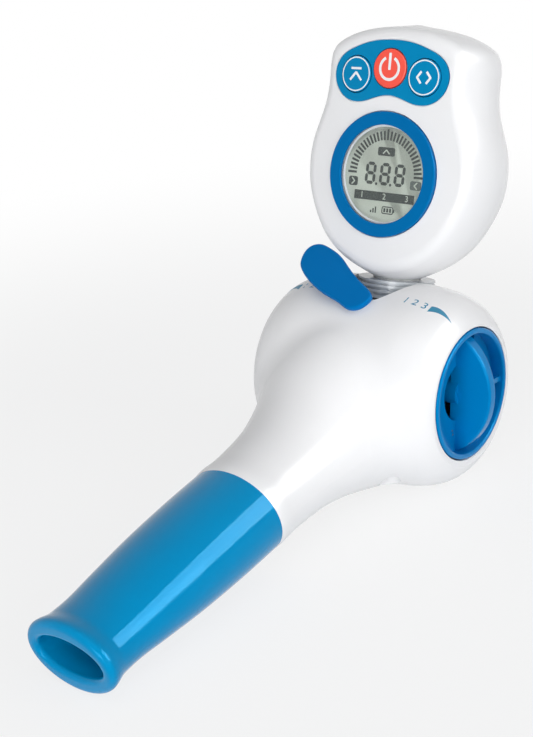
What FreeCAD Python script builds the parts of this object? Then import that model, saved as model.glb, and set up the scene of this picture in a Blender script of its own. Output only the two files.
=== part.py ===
import FreeCAD, Part
import math
import os

# Breathing trainer: hollow two-lobe body with an oval neck and mouthpiece, two
# turning flow dials, and a plug-on pressure meter. Millimetres. The body is drawn
# with its dial axis on X and its neck along -Y, then laid down on its rest plane.

V = FreeCAD.Vector
X = V(1, 0, 0)
Y = V(0, 1, 0)
Z = V(0, 0, 1)
ORIGIN = V(0, 0, 0)

# Fits
GAP = 0.3
RUN = 0.05
WALL = 2.0

# Body
BODY_HALF = 29.4
BARREL_Z = -0.7
BARREL = [(0, 27.7), (11, 27.7), (16, 27.4), (21, 26.3), (25, 24.5), (28, 21.8), (BODY_HALF, 19.4)]
NECK_Z = -2.73
PARTING = NECK_Z
NECK = [(-67, 14.63, 11.93, 0), (-55, 14.9, 12.1, 0.1), (-45, 16.0, 13.2, 0.3),
        (-36, 18.3, 15.9, 0.8), (-28, 20.9, 19.7, 1.5), (-20, 23.2, 22.9, 1.8), (-12, 24.4, 24.3, 2.0)]
NECK_BLEND = 20.0
SEAM_Y = -67.0
FLAT_DEPTH = 0.5
LIP_HEIGHT = 1.2

# Dials and their wells
DIAL_R = 17.9
DIAL_WALL = 1.5
DIAL_RIM = BODY_HALF + 0.5
DIAL_FLOOR = DIAL_RIM - 4.1
FLOOR_T = 1.6
SKIRT_END = 19.0
PORT_R = 8.0
HUB_R = 3.6
JOURNAL_R = 3.0
FIN_LEAN = 14.5
FIN_RISE = 6.0
FIN_END = 2.7
FIN_HALF = 15.8
DIAL_TURN = 150.0
WELL_R = DIAL_R + 0.4
WELL_FLOOR = 18.3
BULKHEAD_T = 1.5

# Air core
CORE_R = 15.6
CORE_BORE = 14.0
CORE_END = 20.0
TUBE_A = 12.33
TUBE_B = 9.63
TUBE_WALL = 1.63
SPIGOT_END = -85.0
SEAT_X = 14.0
SEAT_T = 1.6
VALVE_T = 0.8
VALVE_LIFT = 1.3
PLATE_T = 1.5

# Meter head: local z is the head axis, local -y is the face
LEAN = 22.58
HEAD_ORIGIN = V(0, 25.26, 49.81)
FACE_Y = -12.13
CROWN_R = 250.0
HEAD_FLAT = -28.2
HEAD_WALL = 2.0
TOP_FLAT = 0.8
HEAD_SIDE = [(8.4, -27.3), (15.1, -23.5), (21.15, -17.6), (24.5, -11.7), (26.7, -5.9), (27.6, 0),
             (26.9, 8.0), (23.9, 18.0), (23.2, 26.0), (23.0, 30.6), (21.9, 33.4), (19.3, 35.5),
             (11.5, 38.4), (0, 40.0)]
HEAD_PARTING = 15.0
RING_R = 16.74
WINDOW_R = 13.16
SADDLE_Z = -34.0
SADDLE_R = 12.0
STEM_R = 6.3
KEY_X = 10.7
KEY_Z = 26.0
POWER_Z = 27.9
KEY_R = 4.8
POWER_R = 5.1
CELL_R = 5.2
CELL_LEN = 44.0
BOARD_Y = -4.4
BOARD_T = 1.6

nodes = {}


def cyl(start, way, radius, height):
    return Part.makeCylinder(radius, height, start, way)


def ring(start, way, outer, inner, height):
    return cyl(start, way, outer, height).cut(cyl(start - way * 1.0, way, inner, height + 2.0))


def along_x(x0, x1, radius):
    return cyl(V(min(x0, x1), 0, 0), X, radius, abs(x1 - x0))


def ring_x(x0, x1, outer, inner):
    return along_x(x0, x1, outer).cut(along_x(min(x0, x1) - 1, max(x0, x1) + 1, inner))


def box(x0, x1, y0, y1, z0, z1):
    return Part.makeBox(x1 - x0, y1 - y0, z1 - z0, V(x0, y0, z0))


def mirrored(shape):
    return shape.mirror(ORIGIN, X)


def join(first, *rest):
    solid = first
    for other in rest:
        solid = solid.fuse(other)
    return solid.removeSplitter()


def spline(points):
    curve = Part.BSplineCurve()
    curve.interpolate(points)
    return curve.toShape()


def soften(shape, edges, radius):
    try:
        result = shape.makeFillet(radius, edges)
    except Part.OCCError:
        return shape
    return result if result.isValid() and result.Volume > 0 else shape


def oval(y, a, b, z):
    curve = Part.Ellipse(V(a, y, z), V(0, y, z + b), V(0, y, z))
    return Part.Wire(curve.toShape())


# Sections between the given ones, on a smooth curve without overshoot
def filled_in(sections, step):
    count = len(sections)
    slopes = []
    for i in range(count):
        low = sections[max(i - 1, 0)]
        high = sections[min(i + 1, count - 1)]
        here = []
        for k in (1, 2, 3):
            before = (sections[i][k] - low[k]) * (high[k] - sections[i][k])
            flat = before <= 0 and 0 < i < count - 1
            here.append(0.0 if flat else (high[k] - low[k]) / (high[0] - low[0]))
        slopes.append(here)
    result = [sections[0]]
    for i in range(count - 1):
        first = sections[i]
        last = sections[i + 1]
        span = last[0] - first[0]
        pieces = max(1, round(abs(span) / step))
        for j in range(1, pieces + 1):
            t = j / pieces
            row = [first[0] + span * t]
            for k in (1, 2, 3):
                value = first[k] * (2 * t ** 3 - 3 * t ** 2 + 1) + last[k] * (3 * t ** 2 - 2 * t ** 3)
                value += slopes[i][k - 1] * span * (t ** 3 - 2 * t ** 2 + t)
                value += slopes[i + 1][k - 1] * span * (t ** 3 - t ** 2)
                row.append(value)
            result.append(tuple(row))
    return result


def oval_loft(sections, grow=0.0, step=0):
    rows = filled_in(sections, step) if step else sections
    wires = [oval(y, a + grow, b + grow, NECK_Z + rise) for y, a, b, rise in rows]
    return Part.makeLoft(wires, True, len(rows) == 2)


# Body outer form, grown or shrunk by one value
def barrel(grow):
    side = [V(x, 0, r + grow) for x, r in BARREL]
    side[-1] = V(BODY_HALF + grow * 0.9, 0, BARREL[-1][1] + grow * 0.2)
    left = [V(-p.x, 0, p.z) for p in reversed(side[1:])]
    curve = spline(left + side)
    ends = Part.makePolygon([side[-1], V(side[-1].x, 0, 0), V(-side[-1].x, 0, 0), left[0]])
    face = Part.Face(Part.Wire([curve] + ends.Edges))
    solid = face.revolve(ORIGIN, X, 360)
    solid.translate(V(0, 0, BARREL_Z))
    return solid


def body_form(grow, neck_more=0.0, blend=0.0):
    form = barrel(grow).fuse(oval_loft(NECK, grow, 5.0))
    if blend > 0:
        meet = [e for e in form.Edges if e.Length > 120 and e.BoundBox.YMax < -8]
        form = form.makeFillet(blend - grow, meet)
    if neck_more > 0:
        y, a, b, rise = NECK[0]
        wires = [oval(y - neck_more, a + grow, b + grow, NECK_Z), oval(y, a + grow, b + grow, NECK_Z)]
        form = form.fuse(Part.makeLoft(wires, True, False))
    return form


def rest_tilt():
    lip_y, a, b, rise = LIP[-2]
    low = NECK_Z - b - BARREL_Z
    reach = math.hypot(lip_y, low)
    return math.asin((BARREL[0][1] - FLAT_DEPTH) / reach) - math.atan2(-low, -lip_y)


# Mouthpiece sections: distance, half width, half height, rise of the centre
LIP = [(-67.05, 14.63, 11.93, 0), (-80, 14.5, 11.7, 0), (-95, 14.0, 10.9, 0), (-108, 13.1, 9.6, 0),
       (-117, 12.5, 8.6, 0), (-122.3, 12.7, 8.5, 0), (-125.2, 13.4, 9.2, 0), (-126.4, 13.62, 9.42, 0),
       (-128.1, 13.45, 9.25, 0)]
BORE = [(-86.0, 10.7, 8.0, 0), (-104, 10.7, 7.4, 0), (-117, 10.3, 5.6, 0), (-124, 10.0, 4.8, 0),
        (-128.5, 10.2, 5.0, 0)]

TILT = rest_tilt()
HEAD_FRAME = FreeCAD.Placement(HEAD_ORIGIN, FreeCAD.Rotation(X, -LEAN))


def in_head(shape):
    moved = shape.copy()
    moved.Placement = HEAD_FRAME.multiply(moved.Placement)
    return moved


# Head outer form: a turned body with a crowned flat front
def head_form(grow, edge=3.5):
    full = [(6.5, HEAD_FLAT)] + HEAD_SIDE
    points = []
    for i, (r, z) in enumerate(full):
        before = full[max(i - 1, 0)]
        after = full[min(i + 1, len(full) - 1)]
        length = math.hypot(after[0] - before[0], after[1] - before[1])
        nr = (after[1] - before[1]) / length
        nz = -(after[0] - before[0]) / length
        points.append(V(max(r + grow * nr, 0), 0, z + grow * nz))
    points[0] = V(6.5 + grow * 0.5, 0, HEAD_FLAT - grow)
    points[-1] = V(TOP_FLAT, 0, full[-1][1] + grow)
    curve = spline(points)
    ends = Part.makePolygon([points[-1], V(0, 0, points[-1].z), V(0, 0, points[0].z), points[0]])
    turned = Part.Face(Part.Wire([curve] + ends.Edges)).revolve(ORIGIN, Z, 360)
    crown = cyl(V(0, FACE_Y - grow + CROWN_R, -60), Z, CROWN_R, 130)
    solid = turned.common(crown)
    if edge > 0:
        front = [e for e in solid.Edges if e.BoundBox.YMax < FACE_Y + 4 and e.Length > 20]
        solid = soften(solid, front, edge)
    return solid


# Shells of the body
def body_shells():
    keep = body_form(0.0, 0.0, NECK_BLEND)
    pad = in_cap(cyl(V(CAP_PIVOT[0], CAP_PIVOT[1], -4.0), Z, 3.4, 4.0 - CAP_T / 2 - GAP))
    outer = keep.fuse(pad)
    outer = outer.cut(in_head(cyl(V(0, -40, SADDLE_Z + SADDLE_R), Y, SADDLE_R, 80)))
    seat_pocket = in_head(cyl(V(0, 0, SADDLE_Z), Z, 11.1, 14))
    outer = outer.cut(seat_pocket)
    under = FreeCAD.Placement(V(0, 0, BARREL_Z), FreeCAD.Rotation(X, -math.degrees(TILT)))
    flat = box(-60, 60, -200, 100, -80, FLAT_DEPTH - BARREL[0][1])
    flat.Placement = under
    outer = outer.cut(flat)
    inner = body_form(-WALL, 1.0, NECK_BLEND)
    roof = in_head(cyl(V(0, 0, SADDLE_Z - WALL), Z, 13.5, 20))
    channel = in_head(cyl(V(0, -40, SADDLE_Z + SADDLE_R), Y, SADDLE_R + WALL, 80))
    inner = inner.cut(roof).cut(channel)
    shell = outer.cut(inner)
    for side in (1, -1):
        near = side * (WELL_FLOOR - BULKHEAD_T)
        sleeve = along_x(near, side * BODY_HALF, WELL_R + 1.6)
        plate = along_x(near, side * WELL_FLOOR, 27.0)
        rim = sleeve.fuse(plate).common(keep)
        shell = shell.fuse(rim)
    for side in (1, -1):
        shell = shell.cut(along_x(side * WELL_FLOOR, side * (BODY_HALF + 5), WELL_R))
        shell = shell.cut(along_x(side * 15.0, side * (WELL_FLOOR + 1), CORE_R + GAP))
    shell = shell.cut(flat)
    lower_bosses = []
    upper_bosses = []
    holes = []
    pilots = []
    for x, y, seat in SCREWS:
        lower_bosses.append(cyl(V(x, y, -30), Z, 4.2, 30 + seat + 1.4))
        lower_bosses.append(cyl(V(x, y, -30), Z, 3.0, 30 + PARTING))
        upper_bosses.append(cyl(V(x, y, PARTING), Z, 3.0, 32))
        holes.append(cyl(V(x, y, -30), Z, 3.0, 30 + seat))
        holes.append(cyl(V(x, y, -30), Z, 1.4, 40))
        pilots.append(cyl(V(x, y, PARTING - 1), Z, 1.1, seat + SCREW_LENGTH - PARTING + 2))
    low = box(-60, 60, -70, 60, -60, PARTING)
    high = box(-60, 60, -70, 60, PARTING, 60)
    lower = shell.common(low)
    upper = shell.common(high)
    for boss in lower_bosses:
        lower = lower.fuse(boss.common(keep).cut(flat))
    for boss in upper_bosses:
        upper = upper.fuse(boss.common(outer))
    for hole in holes:
        lower = lower.cut(hole)
    for pilot in pilots:
        upper = upper.cut(pilot)
    zone = box(-14.9, 14.9, -66, 25.5, PARTING - 0.5, PARTING + LIP_HEIGHT)
    zone = zone.cut(box(-40, 40, 17.0, 40, -60, 60))
    lip_out = body_form(-WALL * 0.5 - 0.12)
    lip_in = body_form(-WALL, 1.0)
    lip = lip_out.cut(lip_in).common(zone)
    groove_zone = box(-15.1, 15.1, -66.2, 17.2, PARTING - 0.1, PARTING + LIP_HEIGHT + GAP)
    groove = body_form(-WALL * 0.5).cut(body_form(-WALL - 0.1, 1.0)).common(groove_zone)
    lower = lower.fuse(lip)
    upper = upper.cut(groove)
    bore = in_head(cyl(V(0, 0, SADDLE_Z - 12), Z, BOSS_R + GAP, 14))
    upper = upper.cut(bore)
    journal = in_cap(cyl(V(CAP_PIVOT[0], CAP_PIVOT[1], -12), Z, CAP_PIN_R + RUN, 14))
    upper = upper.cut(journal)
    clip_room = cyl(V(CAP_PIVOT[0], CAP_PIVOT[1], CLIP_TOP - 8), Z, CLIP_R + GAP, 8)
    upper = upper.cut(in_cap(clip_room))
    middle = body_form(-WALL / 2)
    middle = middle.cut(in_head(cyl(V(0, 0, SADDLE_Z - WALL / 2), Z, 12.3, 20)))
    middle = middle.cut(in_head(cyl(V(0, -40, SADDLE_Z + SADDLE_R), Y, SADDLE_R + WALL / 2, 80)))
    for x in (-9.0, 9.0):
        upper = upper.fuse(core_rib(x, 1).common(high).common(middle))
        lower = lower.fuse(core_rib(x, -1).common(low).common(middle))
    nodes["body_upper_shell"] = upper
    nodes["body_lower_shell"] = lower


# Saddle ribs that hold the air core between the shells
def core_rib(x, way):
    rib = box(x - 0.8, x + 0.8, -14.0, 8.0, 0, 28) if way > 0 else box(x - 0.8, x + 0.8, -8, 14, -30, 0)
    return rib.cut(along_x(-40, 40, CORE_R))


SCREW_LENGTH = 14.0
SCREWS = [(-9.5, 20.3, -12.6), (9.5, 20.3, -12.6), (-16.0, -24.0, -9.6), (16.0, -24.0, -9.6)]
BOSS_R = 8.0


# One-piece air core: oval tube, cross tube and the socket for the meter stem
def air_core():
    tube = [(SPIGOT_END, TUBE_A, TUBE_B, 0), (-6, TUBE_A, TUBE_B, 0)]
    outer = oval_loft(tube)
    cross = along_x(-CORE_END, CORE_END, CORE_R)
    flanges = []
    for side in (1, -1):
        edge = WELL_FLOOR - BULKHEAD_T
        flanges.append(along_x(side * (edge - 1.5), side * edge, CORE_R + 1.5))
    socket = in_head(cyl(V(0, 0, -48), Z, BOSS_R, 48 - 33.2))
    core = join(outer, cross, socket, *flanges)
    core = core.cut(oval_loft([(SPIGOT_END - 1, TUBE_A, TUBE_B, 0), (-5, TUBE_A, TUBE_B, 0)], -TUBE_WALL))
    core = core.cut(along_x(-CORE_END - 1, CORE_END + 1, CORE_BORE))
    for side in (1, -1):
        core = core.cut(along_x(side * SEAT_X, side * (CORE_END + 1), CORE_BORE + 0.6))
    core = core.cut(in_head(cyl(V(0, 0, -48), Z, STEM_R + 0.35, 20)))
    seal_y = -79.0
    groove = oval_ring(seal_y, 1.6, 0.2, -0.8)
    core = core.cut(groove)
    nodes["air_core"] = core.removeSplitter()
    nodes["neck_seal"] = oval_ring(seal_y + 0.1, 1.4, 0.0, -0.8)


def oval_ring(y, width, outer, inner):
    ends = [(y, TUBE_A, TUBE_B, 0), (y + width, TUBE_A, TUBE_B, 0)]
    return oval_loft(ends, outer).cut(oval_loft(ends, inner))


# Valve seat with a spider of holes and a headed pin that keeps the flap
def seat_plate(outward):
    plate = along_x(SEAT_X, SEAT_X + SEAT_T, CORE_BORE + 0.6 - GAP)
    for i in range(6):
        a = math.radians(60 * i + 30)
        plate = plate.cut(cyl(V(SEAT_X - 1, 7.2 * math.cos(a), 7.2 * math.sin(a)), X, 2.7, SEAT_T + 2))
    if outward:
        pin = along_x(SEAT_X, SEAT_X + SEAT_T + VALVE_T + VALVE_LIFT + 0.7, 1.3)
        head = along_x(SEAT_X + SEAT_T + VALVE_T + VALVE_LIFT + 0.1,
                       SEAT_X + SEAT_T + VALVE_T + VALVE_LIFT + 0.7, 2.2)
    else:
        pin = along_x(SEAT_X - VALVE_T - VALVE_LIFT - 0.7, SEAT_X, 1.3)
        head = along_x(SEAT_X - VALVE_T - VALVE_LIFT - 0.7, SEAT_X - VALVE_T - VALVE_LIFT - 0.1, 2.2)
    return join(plate, pin, head)


def valve_disc(outward):
    x0 = SEAT_X + SEAT_T if outward else SEAT_X - VALVE_T
    disc = ring_x(x0, x0 + VALVE_T, 11.4, 1.6)
    return disc


# Fixed plate with graded holes, the bearing of the dial and its stop peg
def orifice_plate():
    plate = along_x(CORE_END, CORE_END + PLATE_T, CORE_R)
    plate = plate.cut(along_x(CORE_END - 1, CORE_END + PLATE_T + 1, JOURNAL_R + RUN))
    sizes = [0.6, 0.8, 1.0, 1.2, 1.4, 1.5]
    for i, size in enumerate(sizes):
        a = math.radians(104 + 30.5 * i)
        plate = plate.cut(cyl(V(CORE_END - 1, 5.9 * math.cos(a), 5.9 * math.sin(a)), X, size, PLATE_T + 2))
    peg = cyl(V(CORE_END + PLATE_T - 0.5, -12, 0), X, 1.2, DIAL_FLOOR - FLOOR_T + 1.0 - CORE_END - PLATE_T)
    return join(plate, peg)


# Flow dial: cup, port tube, hub, journal, half shutter and arched grip fin
def dial():
    back = DIAL_FLOOR - FLOOR_T
    cup = ring_x(SKIRT_END, DIAL_RIM, DIAL_R, DIAL_R - DIAL_WALL)
    cup = soften(cup, [e for e in cup.Edges if abs(e.BoundBox.XMin - DIAL_RIM) < 1e-3 and
                       e.BoundBox.XLength < 1e-3], 0.6)
    floor = ring_x(back, DIAL_FLOOR, DIAL_R - 0.5, PORT_R)
    port = ring_x(CORE_END + PLATE_T + GAP, DIAL_FLOOR, PORT_R + 1.2, PORT_R)
    journal = along_x(CORE_END - GAP, back, JOURNAL_R)
    hub = along_x(back - 1.5, DIAL_FLOOR + 0.6, HUB_R)
    shutter = along_x(back, DIAL_FLOOR, PORT_R + 0.2).common(box(0, 40, 0, 20, -20, 20))
    rise = FIN_RISE + FIN_END
    arc_r = (FIN_HALF ** 2 + rise ** 2) / (2 * rise)
    arc_x = DIAL_RIM + FIN_RISE - arc_r
    arch = cyl(V(arc_x, -5, 0), Y, arc_r, 10)
    base = box(back, 60, -5, 5, -DIAL_R + 0.7, DIAL_R - 0.7)
    wedge = Part.makePolygon([V(back, -2.3, -20), V(40, -1.2, -20), V(40, 1.2, -20), V(back, 2.3, -20),
                              V(back, -2.3, -20)])
    wedge = Part.Face(wedge).extrude(V(0, 0, 40))
    fin = arch.common(base).common(wedge).common(along_x(back, 60, DIAL_R - 0.7))
    crest = [e for e in fin.Edges if e.BoundBox.XMax > DIAL_RIM + FIN_RISE - 0.6 and e.Length > 20]
    fin = soften(fin, crest, 0.7)
    rib = box(back, DIAL_FLOOR + 3.0, 0, DIAL_R - 0.7, -0.7, 0.7)
    pawl = box(back, DIAL_FLOOR + 2.0, 1.0, 4.4, -4.6, -2.2)
    result = join(cup, floor, port, journal, hub, shutter, fin, rib, pawl)
    result = result.cut(box(back - 1, DIAL_FLOOR + 1, 3.2, 6.6, 11.6, 14.8))
    result = result.cut(along_x(CORE_END - 2, DIAL_FLOOR - 0.6, 1.1))
    result = result.cut(ring_x(SEAL_X - 0.2, SEAL_X + 1.8, DIAL_R + 1, DIAL_R - 0.85))
    result.rotate(ORIGIN, X, -FIN_LEAN)
    groove = ring_x(back - 1, back + 1.1, 13.7, 10.3)
    keep = Part.makeCylinder(20, 4, V(back - 1.5, 0, 0), X, DIAL_TURN + 16)
    keep.rotate(ORIGIN, X, start_angle(keep, 22))
    result = result.cut(groove.common(keep))
    return result.removeSplitter()


# Turn that brings the start of a part cylinder to the wanted angle from +Y
def start_angle(sector, wanted):
    edges = [e for e in sector.Edges if len(e.Vertexes) == 2 and e.Length > 19 and abs(e.Length - 20) < 1e-6]
    far = [v.Point for e in edges for v in e.Vertexes if math.hypot(v.Point.y, v.Point.z) > 19]
    angles = sorted(set(round(math.degrees(math.atan2(p.z, p.y)) % 360, 3) for p in far))
    sweep = DIAL_TURN + 16
    for a in angles:
        if any(abs((a + sweep) % 360 - b) < 0.01 for b in angles):
            return wanted - a
    return wanted - angles[0]


SEAL_X = 21.0


def dial_screw():
    shank = along_x(CORE_END - GAP, DIAL_FLOOR - 1.2, 1.1)
    head = along_x(CORE_END - GAP - 0.9, CORE_END - GAP, 4.0)
    slot = box(CORE_END - GAP - 1.5, CORE_END - GAP - 0.5, -2.2, 2.2, -0.35, 0.35)
    return join(shank, head).cut(slot)


def dial_ring():
    half = (DIAL_R + 0.25 - (DIAL_R - 0.85)) / 2
    torus = Part.makeTorus(DIAL_R - 0.85 + half, half, V(SEAL_X + 0.8, 0, 0), X)
    return torus


def flow_side():
    right = {
        "exhale_seat": seat_plate(True), "exhale_flap": valve_disc(True),
        "exhale_orifice_plate": orifice_plate(), "exhale_dial": dial(),
        "exhale_dial_screw": dial_screw(), "exhale_dial_ring": dial_ring()}
    nodes.update(right)
    nodes["inhale_seat"] = mirrored(seat_plate(False))
    nodes["inhale_flap"] = mirrored(valve_disc(False))
    nodes["inhale_orifice_plate"] = mirrored(right["exhale_orifice_plate"])
    nodes["inhale_dial"] = mirrored(right["exhale_dial"])
    nodes["inhale_dial_screw"] = mirrored(right["exhale_dial_screw"])
    nodes["inhale_dial_ring"] = mirrored(right["exhale_dial_ring"])


def body_screws():
    screws = []
    for x, y, seat in SCREWS:
        head = cyl(V(x, y, seat - 1.5), Z, 2.6, 1.5)
        shank = cyl(V(x, y, seat), Z, 1.1, SCREW_LENGTH)
        cross = box(x - 1.3, x + 1.3, y - 0.3, y + 0.3, seat - 2, seat - 0.7)
        cross = cross.fuse(box(x - 0.3, x + 0.3, y - 1.3, y + 1.3, seat - 2, seat - 0.7))
        screws.append(join(head, shank).cut(cross))
    nodes["body_screws"] = Part.makeCompound(screws)


# Oval mouthpiece that slides over the core spigot, with a thick rounded lip
def mouthpiece():
    outer = oval_loft(LIP, 0, 3.5)
    front = [e for e in outer.Edges if e.BoundBox.YMax < LIP[-1][0] + 0.2]
    outer = soften(outer, front, 1.6)
    socket = oval_loft([(SPIGOT_END - 0.4, TUBE_A, TUBE_B, 0), (SEAM_Y + 1, TUBE_A, TUBE_B, 0)], RUN)
    sleeve = outer.cut(socket).cut(oval_loft(BORE, 0, 4.0))
    inner = [e for e in sleeve.Edges if e.BoundBox.YMax < -127.2 and e.BoundBox.XMax < 11.2]
    sleeve = soften(sleeve, inner, 1.4)
    nodes["mouthpiece"] = sleeve.removeSplitter()


# Port cap: flat spoon-shaped flap over the saddle, turning on its own journal
CAP_NORMAL = V(0.10, -0.38, 0.92)
CAP_T = 1.8
CAP_PIN_R = 1.5
CLIP_R = 2.9
CLIP_TOP = -5.3
CAP_PIVOT = (1.2, 4.6)
CAP_EDGE = [(-20.7, 10.2), (-21.6, 13.4), (-21.1, 16.3), (-19.0, 17.9), (-15.4, 17.6), (-12.0, 16.5),
            (-9.3, 15.1), (-6.5, 13.2), (-3.4, 11.2), (-0.1, 9.4), (3.3, 7.7), (5.3, 5.8), (4.8, 3.1),
            (3.4, 1.2), (1.0, 0.4), (-2.4, 1.4), (-8.1, 2.9), (-12.6, 4.5), (-17.0, 6.8)]


def cap_frame():
    n = V(CAP_NORMAL)
    n.normalize()
    a = math.atan2(0.38, 0.92)
    r = BARREL[0][1]
    touch = V(0, -r * math.sin(a), BARREL_Z + r * math.cos(a))
    e1 = Y.cross(n)
    e1.normalize()
    e2 = n.cross(e1)
    return FreeCAD.Placement(touch + n * 1.6, FreeCAD.Rotation(e1, e2, n, "ZXY"))


CAP_PLACE = cap_frame()


def in_cap(shape):
    moved = shape.copy()
    moved.Placement = CAP_PLACE.multiply(moved.Placement)
    return moved


def port_cap():
    curve = Part.BSplineCurve()
    curve.interpolate([V(x, y, -CAP_T / 2) for x, y in CAP_EDGE], PeriodicFlag=True)
    flap = Part.Face(Part.Wire(curve.toShape())).extrude(V(0, 0, CAP_T))
    rims = [e for e in flap.Edges if e.BoundBox.ZLength < 1e-3]
    flap = soften(flap, rims, 0.6)
    journal = cyl(V(CAP_PIVOT[0], CAP_PIVOT[1], -6.4), Z, CAP_PIN_R, 6.4)
    nodes["port_cap"] = in_cap(join(flap, journal))
    clip = ring(V(CAP_PIVOT[0], CAP_PIVOT[1], CLIP_TOP - RUN - 0.9), Z, CLIP_R, CAP_PIN_R, 0.9)
    nodes["cap_retainer"] = in_cap(clip)


# Clear ribbed collar between the saddle and the meter head
def port_collar():
    collar = cyl(V(0, 0, SADDLE_Z + 0.6), Z, 10.7, HEAD_FLAT - GAP - SADDLE_Z - 0.6)
    for i in range(3):
        z = SADDLE_Z + 1.5 + 1.4 * i
        collar = collar.cut(ring(V(0, 0, z), Z, 12, 9.9, 0.7))
    collar = collar.cut(cyl(V(0, 0, -50), Z, STEM_R + 0.35, 40))
    collar = collar.cut(cyl(V(0, 0, -50), Z, BOSS_R + 0.2, 50 - 32.9))
    nodes["port_collar"] = in_head(collar)
    nodes["collar_gasket"] = in_head(ring(V(0, 0, SADDLE_Z), Z, 10.6, BOSS_R + 0.4, 0.6))


def head_shells():
    outer = head_form(0.0)
    inner = head_form(-HEAD_WALL, 2.0)
    boss = cyl(V(0, 0, HEAD_FLAT), Z, 9.8, 3.6).common(outer)
    lcd_pad = cyl(V(0, FACE_Y, 0), Y, RING_R + 1.2, 3.4).common(outer)
    shell = outer.cut(inner).fuse(boss).fuse(lcd_pad)
    shell = shell.cut(cyl(V(0, 0, -40), Z, STEM_R + 0.15, 30))
    shell = shell.cut(cyl(V(0, -30, 0), Y, WINDOW_R + 0.44, 24))
    shell = shell.cut(cyl(V(0, -30, 0), Y, RING_R + 0.2, 30 + RING_SEAT))
    shell = shell.cut(kidney(PANEL_GAP).cut(crown_plate(-0.45)))
    for x, z, r in KEYS:
        shell = shell.cut(cyl(V(x, -30, z), Y, r + GAP, 24))
    front = shell.common(box(-60, 60, -60, HEAD_PARTING, -60, 60))
    rear = shell.common(box(-60, 60, HEAD_PARTING, 60, -60, 60))
    for x, z in HEAD_SCREWS:
        post = cyl(V(x, FACE_Y + 1, z), Y, 2.4, HEAD_PARTING - FACE_Y - 1).common(outer)
        front = front.fuse(post)
        rear = rear.fuse(cyl(V(x, HEAD_PARTING, z), Y, 2.9, 12).common(outer))
    for x, z in HEAD_SCREWS:
        front = front.cut(cyl(V(x, 4, z), Y, 0.9, 20))
        rear = rear.cut(cyl(V(x, 10, z), Y, 1.25, 20))
        rear = rear.cut(cyl(V(x, HEAD_SCREW_SEAT, z), Y, 2.3, 20))
    lip_zone = box(-60, 60, HEAD_PARTING - 1.2, HEAD_PARTING + 0.1, -19, 31)
    lip = head_form(-HEAD_WALL - GAP, 0).cut(head_form(-HEAD_WALL - GAP - 0.9, 0)).common(lip_zone)
    bridge_zone = box(-60, 60, HEAD_PARTING, HEAD_PARTING + 0.9, -19, 31)
    bridge = head_form(-HEAD_WALL + 0.3, 0).cut(head_form(-HEAD_WALL - GAP - 0.9, 0)).common(bridge_zone)
    rear = rear.fuse(lip).fuse(bridge)
    hatch = box(-DOOR_X, DOOR_X, 10, 40, DOOR_LOW, DOOR_HIGH)
    door_hole = box(-DOOR_X - GAP, DOOR_X + GAP, 10, 40, DOOR_LOW - GAP, DOOR_HIGH + GAP)
    door = head_form(0.0, 0).cut(head_form(-1.6, 0)).common(hatch).common(box(-60, 60, 5, 60, -60, 60))
    ledge = box(-DOOR_X - 0.5, DOOR_X + 0.5, HEAD_PARTING, 40, DOOR_LOW - 2.2, DOOR_LOW + 1.2)
    ledge = ledge.common(head_form(-1.6, 0)).cut(head_form(-2.2, 0))
    rear = rear.cut(door_hole).fuse(ledge)
    latch = box(-4, 4, 18, 40, DOOR_HIGH - 1.2, DOOR_HIGH)
    latch = latch.common(head_form(-1.5, 0)).cut(head_form(-3.0, 0))
    grip = box(-6, 6, 15, 40, DOOR_HIGH - 7.0, DOOR_HIGH - 3.0).cut(head_form(-0.7, 0))
    for i in range(3):
        z = DOOR_HIGH - 6.2 + 1.2 * i
        grip = grip.cut(box(-5.5, 5.5, 10, 40, z, z + 0.5).common(head_form(-0.3, 0)))
    door = join(door, latch).cut(grip)
    nodes["head_front_shell"] = in_head(front.removeSplitter())
    nodes["head_rear_cover"] = in_head(rear.removeSplitter())
    nodes["battery_door"] = in_head(door.removeSplitter())
    screws = []
    for x, z in HEAD_SCREWS:
        shank = cyl(V(x, HEAD_PARTING - 8, z), Y, 0.9, HEAD_SCREW_SEAT - HEAD_PARTING + 8)
        head = cyl(V(x, HEAD_SCREW_SEAT, z), Y, 2.0, 1.2)
        slot = box(x - 1.1, x + 1.1, HEAD_SCREW_SEAT + 0.6, HEAD_SCREW_SEAT + 2, z - 0.25, z + 0.25)
        screws.append(join(shank, head).cut(slot))
    nodes["head_screws"] = in_head(Part.makeCompound(screws))


HEAD_SCREWS = [(-8.8, 33.3), (8.8, 33.3)]
HEAD_SCREW_SEAT = HEAD_PARTING + 1.3
DOOR_X = 12.6
DOOR_LOW = -14.0
DOOR_HIGH = 29.0
RING_SEAT = -10.9
PANEL_GAP = 0.2
KEYS = [(-KEY_X, KEY_Z, KEY_R), (0, POWER_Z, POWER_R), (KEY_X, KEY_Z, KEY_R)]

# Kidney outline of the keypad panel on the face
KIDNEY = [(0, 35.3), (6.0, 34.8), (11.6, 33.1), (15.7, 30.8), (17.7, 27.4), (17.4, 23.8), (15.2, 20.6),
          (11.6, 18.9), (7.6, 19.1), (3.8, 20.3), (0, 20.9)]


def kidney(grow=0.0):
    right = [V(x + (grow if x > 0 else 0) * (1 if x > 12 else 0.4), -30,
               z + grow * (1 if z > 27 else -1)) for x, z in KIDNEY]
    left = [V(-p.x, p.y, p.z) for p in reversed(right[1:-1])]
    curve = Part.BSplineCurve()
    curve.interpolate(right + left, PeriodicFlag=True)
    return Part.Face(Part.Wire(curve.toShape())).extrude(V(0, 26, 0))


def crown_plate(grow):
    return cyl(V(0, FACE_Y - grow + CROWN_R, -60), Z, CROWN_R, 130)


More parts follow.
